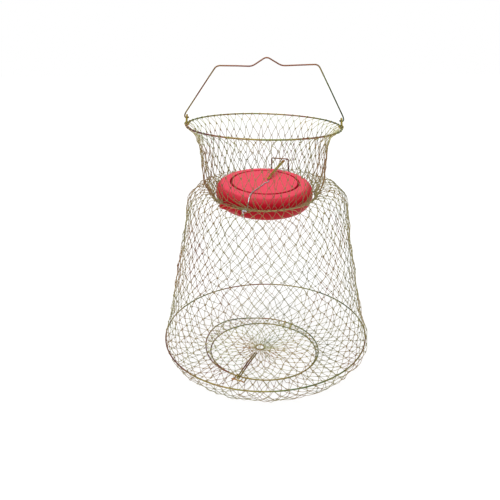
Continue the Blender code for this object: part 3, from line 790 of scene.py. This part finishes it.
def make_door_latch():
    root = joint_place("door_latch_lift")[0]
    tip = polar(DOOR_BAR_DISTANCE - 0.0035, 246.5, root.z, FRAME_CENTRE)
    piece = wire("door_latch_wire", hairpin(root, tip, 0.0017, 0.0012), STAPLE_WIRE * 1.2, PLATED)
    put(piece, "door_latch", "door_latch")


make_door_latch()


def make_hinge_clips():
    azimuth_middle, spread_angle = 57.0, 4.5
    outward, along = directions(azimuth_middle)
    reach = THIN_RING_WIRE + GAP + CLIP_WIRE
    for label, side in (("left", 1), ("right", -1)):
        azimuth = azimuth_middle + side * spread_angle
        door_radius = DOOR_RADIUS * oval_factor(math.radians(azimuth), DOOR_OVAL)
        frame_radius = FRAME_RADIUS * oval_factor(math.radians(azimuth), FRAME_OVAL)
        door = polar(door_radius, azimuth, DOOR_HEIGHT, DOOR_CENTRE)
        sideways = (door - Vector((*FRAME_CENTRE, 0.0))).dot(along)
        inward = math.sqrt(frame_radius ** 2 - sideways ** 2)
        base = Vector((*FRAME_CENTRE, FRAME_HEIGHT)) + along * sideways + outward * inward
        lean = math.degrees(math.atan2(door.z - base.z, (door - base).dot(outward)))
        points = wrap_points(door, outward, reach, lean - 90, lean + 90)
        points += wrap_points(base, outward, reach, lean + 90, lean + 270)
        piece = wire(f"hinge_clip_wire_{label}", points, CLIP_WIRE, GOLD_PLATED, closed=True)
        put(piece, "base", f"door_hinge_clip_{label}")


make_hinge_clips()


# ---- Float lid ----------------------------------------------------------------------------------
def lid_matrix():
    """Origin on the hinge axis, X inward along the lid, Y roughly along the axis, Z the lid's normal."""
    place = joint_place("lid_swing")[0]
    inward = Vector((-place.x, -place.y, 0.0)).normalized()
    sideways = UP.cross(inward)
    turn = Matrix((inward, sideways, UP)).transposed().to_4x4()
    tilt = Matrix.Rotation(-math.radians(LID_TILT), 4, "Y")
    return Matrix.Translation(place) @ turn @ tilt @ Matrix.Rotation(math.radians(LID_ROLL), 4, "X")


HINGE = lid_matrix()
LID_MIDDLE = HINGE @ Matrix.Translation((LID_CENTRE_INWARD, 0.0, LID_CENTRE_RISE))


def turned_shell(name, outline, matrix, material, steps=168):
    """A closed solid turned from an outline that starts and ends on the axis."""
    azimuths = [TAU * step / steps for step in range(steps)]
    verts = [Vector((radius * math.cos(angle), radius * math.sin(angle), height))
             for radius, height in outline[1:-1] for angle in azimuths]
    rows = len(outline) - 2
    faces = grid_faces(rows, steps)
    for (_, height), row in ((outline[0], 0), (outline[-1], rows - 1)):
        middle = len(verts)
        verts.append(Vector((0.0, 0.0, height)))
        faces += [(middle, row * steps + step, row * steps + (step + 1) % steps) for step in range(steps)]
    item = solid_object(name, [matrix @ vert for vert in verts], faces, material)
    item.data.set_sharp_from_angle(angle=math.radians(CLEAN_EDGE))
    return item


def rounded_side(radius, half_height, rounding, first, last, steps):
    return [(radius - rounding + rounding * math.cos(angle), half_height * math.sin(angle))
            for angle in angles_between(first, last, steps)]


def make_lid():
    top = LID_HALF_HEIGHT
    inside = (LID_RADIUS - LID_WALL, LID_HALF_HEIGHT - LID_WALL, LID_ROUNDING - LID_WALL)
    seam, lip = 0.00015, 0.0006
    panel = [(0.0, top + LID_PANEL_RISE), (0.020, top + LID_PANEL_RISE), (0.040, top + 0.00035),
             (0.0480, top + 0.0003)]
    groove = []
    for step in range(13):
        share = step / 6 - 1
        depth = GROOVE_DEPTH * (0.5 + 0.5 * math.cos(math.pi * share)) ** 0.5
        base = 0.0002 * (1 - share) / 2
        groove.append((GROOVE_RADIUS + share * GROOVE_HALF_WIDTH * 1.5, top + base - depth))
    shoulder = rounded_side(LID_RADIUS, top, LID_ROUNDING, 89, 3, 26)
    edge = [(LID_RADIUS - 0.00002, lip), (LID_RADIUS - 0.0003, seam + 0.00015), (LID_RADIUS - lip, seam)]
    outer = panel + groove + shoulder + edge
    inner = [(inside[0], seam)] + rounded_side(*inside, 4, 90, 10)
    inner += [(GROOVE_RADIUS + 0.003, inside[1]), (GROOVE_RADIUS, inside[1] - GROOVE_DEPTH),
              (GROOVE_RADIUS - 0.003, inside[1]), (0.0, inside[1])]
    upper = turned_shell("float_top", outer + inner, LID_MIDDLE, RED)
    upper.data.materials.append(GROOVE_PAINTED_SHADE)
    to_lid = LID_MIDDLE.inverted()
    # Faces in the groove take the second, darker material: painted shade.
    for face in upper.data.polygons:
        place = to_lid @ face.center
        off_groove = abs(math.hypot(place.x, place.y) - GROOVE_RADIUS)
        if off_groove < GROOVE_HALF_WIDTH * 1.1 and place.z > top - 0.003:
            face.material_index = 1
    put(upper, "lid", "lid_top_shell", slot="red_plastic")
    low = LID_BOTTOM_HALF_HEIGHT
    inside = (LID_RADIUS - LID_WALL, low - LID_WALL, LID_BOTTOM_ROUNDING - LID_WALL)
    outer = [(0.0, -low), (0.030, -low)] + rounded_side(LID_RADIUS, low, LID_BOTTOM_ROUNDING, -89, -3, 26)
    outer += [(radius, -height) for radius, height in edge]
    inner = [(inside[0], -seam)] + rounded_side(*inside, -4, -90, 10) + [(0.0, -inside[1])]
    lower = turned_shell("float_bottom", outer + inner, LID_MIDDLE, RED)
    lug = make_lug()
    with bpy.context.temp_override(active_object=lower, selected_editable_objects=[lower, lug]):
        bpy.ops.object.join()
    put(lower, "lid", "lid_bottom_shell", slot="red_plastic")


def make_lug():
    """The hinge channel: rounded edges, and two end ribs that stand a little proud."""
    middle, thick = (LUG_OUTER + LUG_INNER) / 2, (LUG_OUTER - LUG_INNER) / 2
    arc = angles_between(*LUG_ARC, 30)

    def rounded(angle, way):
        """The channel's rounded edge; way is +1 where it ends and -1 where it starts."""
        edge = [(middle + way * thick * math.cos(turn), way * thick * math.sin(turn))
                for turn in angles_between(0, 180, 8)[1:-1]]
        return [(radius * math.cos(angle) - swing * math.sin(angle),
                 radius * math.sin(angle) + swing * math.cos(angle)) for radius, swing in edge]

    section = [((middle + thick) * math.cos(angle), (middle + thick) * math.sin(angle)) for angle in arc]
    section += rounded(arc[-1], 1)
    section += [((middle - thick) * math.cos(angle), (middle - thick) * math.sin(angle))
                for angle in arc[::-1]]
    section += rounded(arc[0], -1)
    half = LUG_WIDTH / 2
    verts = []
    for along, grow in ((-half, 0.0), (-half + 0.0003, LUG_RIB), (-half + 0.0030, LUG_RIB),
                        (-half + 0.0034, 0.0), (half - 0.0034, 0.0), (half - 0.0030, LUG_RIB),
                        (half - 0.0003, LUG_RIB), (half, 0.0)):
        scale = 1 + grow / LUG_OUTER
        verts += [HINGE @ Vector((x * scale, along, z * scale)) for x, z in section]
    count, rows = len(section), 8
    faces = grid_faces(rows, count) + [tuple(range(count)), tuple(range((rows - 1) * count, rows * count))]
    return solid_object("float_lug", verts, faces, RED)


make_lid()


def on_lid(distance, azimuth, clearance):
    """A point above the lid's upper surface, given from the lid's middle."""
    flat = LID_RADIUS - LID_ROUNDING
    share = min(1.0, max(0.0, (distance - flat) / LID_ROUNDING))
    height = LID_HALF_HEIGHT * math.sqrt(1.0 - share * share) + LID_PANEL_RISE * (share == 0.0)
    outward = polar(distance + clearance * share, azimuth, 0.0)
    return HINGE @ (outward + Vector((LID_CENTRE_INWARD, 0.0, height + clearance + LID_CENTRE_RISE)))


def make_catch_arm():
    route = hairpin(on_lid(*CATCH_ROOT, CATCH_WIRE + GAP), polar(*CATCH_TIP), 0.0013, 0.0008)
    put(wire("lid_catch_wire", route, CATCH_WIRE, GOLD_PLATED), "lid", "lid_catch_arm")


make_catch_arm()


def make_spring():
    reach = THIN_RING_WIRE + GAP + SPRING_WIRE
    start, cover, turns, steps = 247.0, 4.2, 3.75, 90
    coil = []
    for step in range(steps + 1):
        share = step / steps
        azimuth, angle = start + cover * share, -turns * TAU * share
        coil.append(polar(THROAT_RADIUS + reach * math.cos(angle), azimuth,
                          THROAT_HEIGHT + reach * math.sin(angle)))
    leg_stops = ((0.0738, 198.4), (0.0722, 198.3), (0.0690, 198.0), (0.0650, 197.6), (0.0600, 197.0),
                 (0.0440, 197.0), (0.0290, 200.0), (0.0185, 206.0), (0.0080, 226.0), (0.0062, 350.0))
    dense = smooth_through(leg_stops, 6)
    leg = [on_lid(distance, azimuth, SPRING_WIRE + GAP) for distance, azimuth in dense]
    outward, along = directions(start)
    base = polar(THROAT_RADIUS, start, THROAT_HEIGHT)
    tail_stops = ((0.0034, 0.0115, -0.0010), (0.0048, 0.0095, 0.0024), (0.0046, 0.0050, 0.0020),
                  (reach + 0.0002, 0.0012, 0.0))   # outward, down and along the ring from the coil
    tail = [Vector(row) for row in smooth_through(
        [base + outward * out - UP * down + along * aside for out, down, aside in tail_stops], 6)]
    put(wire("lid_spring_wire", tail + coil + leg, SPRING_WIRE * 1.8, SPRING, sides=10), "lid",
        "lid_spring", slot="spring_wire")


make_spring()


# ---- Netting on its surfaces --------------------------------------------------------------------
BELOW_CROWN = 5               # the first level that is surely past the crown, where heights fall again
DOOR_SAG = 0.0015
FLOOR_OVAL_REACH = 0.045      # the floor takes up the opening's oval shape over this length
NECK_LEAN_REACH = 0.030       # and the neck the rim's slope
BODY_SECTION = [
    (THROAT_RADIUS, THROAT_HEIGHT), (0.0815, 0.2880, 0.0010), (0.0890, 0.2950, 0.0022),
    (0.0980, 0.2972, 0.0034), (0.1065, 0.2950, 0.0040), (0.1150, 0.2872, 0.0042),
    (0.1210, 0.2780, 0.0042), (0.1238, 0.2640, 0.0040), (0.1260, 0.2500, 0.0036),
    (0.1288, 0.2320, 0.0030), (0.1322, 0.2110, 0.0024), (0.1368, 0.1910, 0.0020),
    (0.1415, 0.1700, 0.0016), (0.1452, 0.1500, 0.0014), (0.1493, 0.1285, 0.0012),
    (0.1538, 0.1070, 0.0012), (0.1588, 0.0860, 0.0012), (0.1642, 0.0640, 0.0012),
    (0.1682, 0.0520, 0.0012), (0.1708, 0.0420, 0.0013), (0.1714, 0.0350, 0.0016),
    (0.1680, 0.0265, 0.0016), (0.1612, 0.0185, 0.0014), (0.1525, 0.0108, 0.0010), (0.1415, 0.0048),
    (0.1270, 0.0014, FRAME_CENTRE[0] * 0.4, FRAME_CENTRE[1] * 0.4),
    (0.1080, 0.0018, FRAME_CENTRE[0] * 0.8, FRAME_CENTRE[1] * 0.8),
    (FRAME_RADIUS, FRAME_HEIGHT, *FRAME_CENTRE)]
NECK_SECTION = [
    (THROAT_RADIUS, THROAT_HEIGHT), (0.0835, 0.2890), (0.0880, 0.2985), (0.0912, 0.3100),
    (0.0922, 0.3220), (0.0928, 0.3350), (0.0936, 0.3480), (0.0954, 0.3600), (0.0978, 0.3690),
    (0.1014, 0.3768), (0.1062, 0.3826), (TOP_RADIUS, TOP_HEIGHT)]
DOOR_RIM_ROW = np.array((DOOR_RADIUS, DOOR_HEIGHT, *DOOR_CENTRE))
DOOR_EYE_ROW = np.array((EYELET_RADIUS, EYELET_HEIGHT, *EYELET_CENTRE))
DOOR_SECTION = [DOOR_RIM_ROW + (DOOR_EYE_ROW - DOOR_RIM_ROW) * share
                - np.array((0.0, DOOR_SAG * math.sin(math.pi * share), 0.0, 0.0))
                for share in np.linspace(0.0, 1.0, 9)]


def put_folding(net, levels, bands):
    """Netting between bodies that fold together, built as fixed pieces that are not tied to the bodies:
    each band's name, first and last body, and CAD node.
    """
    for (name, *bodies, node), *edges in zip(bands, levels, levels[1:]):
        piece = net.piece(name, *edges, NETTING)
        (low, below), (high, above) = sorted(zip(map(net.height, edges), bodies))
        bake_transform(piece)
        if node:
            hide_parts(node)


def make_body_netting():
    surface = Surface(BODY_SECTION)
    total = surface.length[-1]

    def stretch(azimuth, length):
        share = np.clip((length - total + FLOOR_OVAL_REACH) / FLOOR_OVAL_REACH, 0.0, 1.0)
        return 1.0 + (oval_factor(azimuth, FRAME_OVAL) - 1.0) * share * share

    def lift(azimuth, length):
        """The crown of the shoulder sags in front."""
        crown = np.sin(math.pi * np.clip(length / CROWN_LENGTH, 0.0, 1.0))
        return -CROWN_SAG * crown * np.clip(-np.sin(azimuth), 0.0, 1.0) ** 2

    surface.stretch = stretch
    surface.lift = lift
    net = Netting(surface, THIN_RING_WIRE, THIN_RING_WIRE, 101, opening=LUG_OPENING).weave()
    levels = [net.level_near(height, BELOW_CROWN) for height in (0.2600, 0.2225, 0.1725, 0.1210, 0.0685)]
    ring_level = net.level_near(BOTTOM_HEIGHT, BELOW_CROWN)
    throat_wraps = (0, *ring_track(THROAT), THIN_RING_WIRE, 1.0, 3)
    put(net.piece("netting_shoulder", 0, levels[0], NETTING, [throat_wraps]), "throat",
        "shoulder_net_1", "shoulder_net_2", "shoulder_net_3", slot="netting_wire")
    put_folding(net, levels, (("netting_side_4", "throat", "side_4", "side_net_4"),
                              ("netting_side_3", "side_4", "side_3", "side_net_3"),
                              ("netting_side_2", "side_3", "side_2", "side_net_2"),
                              ("netting_side_1", "side_2", "base", None)))
    put(net.piece("netting_side_foot", levels[-1], ring_level, NETTING), "base", "side_net_1",
        slot="netting_wire")
    frame_wraps = (net.count - 1, *ring_track(DOOR_FRAME, oval=FRAME_OVAL), THIN_RING_WIRE, 1.1)
    put(net.piece("netting_floor", ring_level, net.count - 1, NETTING, [frame_wraps]), "base",
        "floor_net", "floor_rim_net", slot="netting_wire")


def make_neck_netting():
    surface = Surface(NECK_SECTION, outward=-1.0)
    total = surface.length[-1]

    def lift(azimuth, length):
        share = np.clip(1.0 - (total - length) / NECK_LEAN_REACH, 0.0, 1.0)
        return -RIM_SLOPE * surface.read(length, 0) * np.cos(azimuth) * share

    surface.lift = lift
    net = Netting(surface, THIN_RING_WIRE, RING_WIRE, 202, opening=LUG_OPENING).weave()
    levels = [net.level_near(height) for height in (0.3080, 0.3450, 0.3725)]
    put(net.piece("netting_neck_foot", 0, levels[0], NETTING), "throat", "neck_net_1",
        slot="netting_wire")
    put_folding(net, levels, (("netting_neck_low", "throat", "neck_2", "neck_net_2"),
                              ("netting_neck_high", "neck_2", "rim", None)))
    rim_wraps = (net.count - 1, *ring_track(TOP, rim_lift), RING_WIRE)
    put(net.piece("netting_mouth", levels[2], net.count - 1, PAINTED_LIGHT_NETTING, [rim_wraps]), "rim",
        "neck_net_3", slot="netting_wire")


def make_door_netting():
    total = DOOR_RADIUS - EYELET_RADIUS

    def lift(azimuth, length):
        return door_lift(azimuth) * np.clip(1.0 - length / (0.75 * total), 0.0, 1.0) ** 1.5

    def stretch(azimuth, length):
        share = np.clip(1.0 - length / total, 0.0, 1.0)
        return 1.0 + (oval_factor(azimuth, DOOR_OVAL) - 1.0) * share

    surface = Surface(DOOR_SECTION, lift=lift, stretch=stretch)
    net = Netting(surface, THIN_RING_WIRE, EYELET_WIRE, 303, DOOR_CELLS, DOOR_LEG).weave()
    door_wraps = (0, *ring_track(DOOR, door_lift, DOOR_OVAL), THIN_RING_WIRE, 1.1)
    eyelet_wraps = (net.count - 1, *ring_track(EYELET), EYELET_WIRE, 1.2, 2)
    put(net.piece("netting_door", 0, net.count - 1, PAINTED_LIGHT_NETTING, [door_wraps, eyelet_wraps]),
        "floor_door", "door_net", slot="netting_wire")


make_body_netting()
make_neck_netting()
make_door_netting()


# ---- Floor, light and camera --------------------------------------------------------------------
def make_stage():
    reach = 6.0
    corners = [(-reach, -reach, 0.0), (reach, -reach, 0.0), (reach, reach, 0.0), (-reach, reach, 0.0)]
    mesh_object("studio_floor", corners, [(0, 1, 2, 3)], studio_material())


def studio_material():
    material, tree, shader, _ = new_material("studio_white")
    feed(tree, shader, {"Base Color": (0.22, 0.22, 0.22, 1.0), "Roughness": 0.95,
                        "Specular IOR Level": 0.0, "Emission Color": (1.0, 1.0, 1.0, 1.0),
                        "Emission Strength": 0.80})
    return material


def light_and_camera():
    scene = bpy.context.scene
    world = bpy.data.worlds.new("studio")
    world.use_nodes = True
    tree = world.node_tree
    sky = tree.nodes["Background"]
    up = add(tree, "SeparateXYZ", "Z", {"Vector": add(tree, "TexCoord", "Generated", {})})
    greys = ((0.0, (0.15,) * 3), (0.35, (0.45,) * 3), (1.0, (1.0,) * 3))
    feed(tree, sky, {"Color": ramp(tree, up, greys)})
    white = add(tree, "Background", "Background", {"Color": (1.0, 1.0, 1.0, 1.0)})
    mix = add(tree, "MixShader", "Shader", {"Fac": add(tree, "LightPath", "Is Camera Ray", {}),
                                            1: sky.outputs["Background"], 2: white})
    feed(tree, tree.nodes["World Output"], {"Surface": mix})
    scene.world = world
    sun = bpy.data.lights.new("soft_light", "SUN")
    sun.energy = 1.9
    sun.angle = math.radians(70.0)
    linked("soft_light", sun).rotation_euler = (math.radians(18.0), math.radians(-12.0), 0.0)
    scene.view_settings.view_transform = "Standard"
    camera = bpy.data.cameras.new("camera")
    camera.sensor_width = 36.0
    camera.lens = 36.885
    camera.shift_x = -0.0299
    camera.shift_y = 0.0088
    scene.camera = linked("camera", camera)
    scene.camera.matrix_world = (Matrix.Translation((0.0, -0.762, 0.5119))
                                 @ Matrix.Rotation(math.radians(90.0 - 23.48), 4, "X")
                                 @ Matrix.Rotation(math.radians(-0.35), 4, "Z"))


make_stage()
light_and_camera()

bpy.context.view_layer.update()
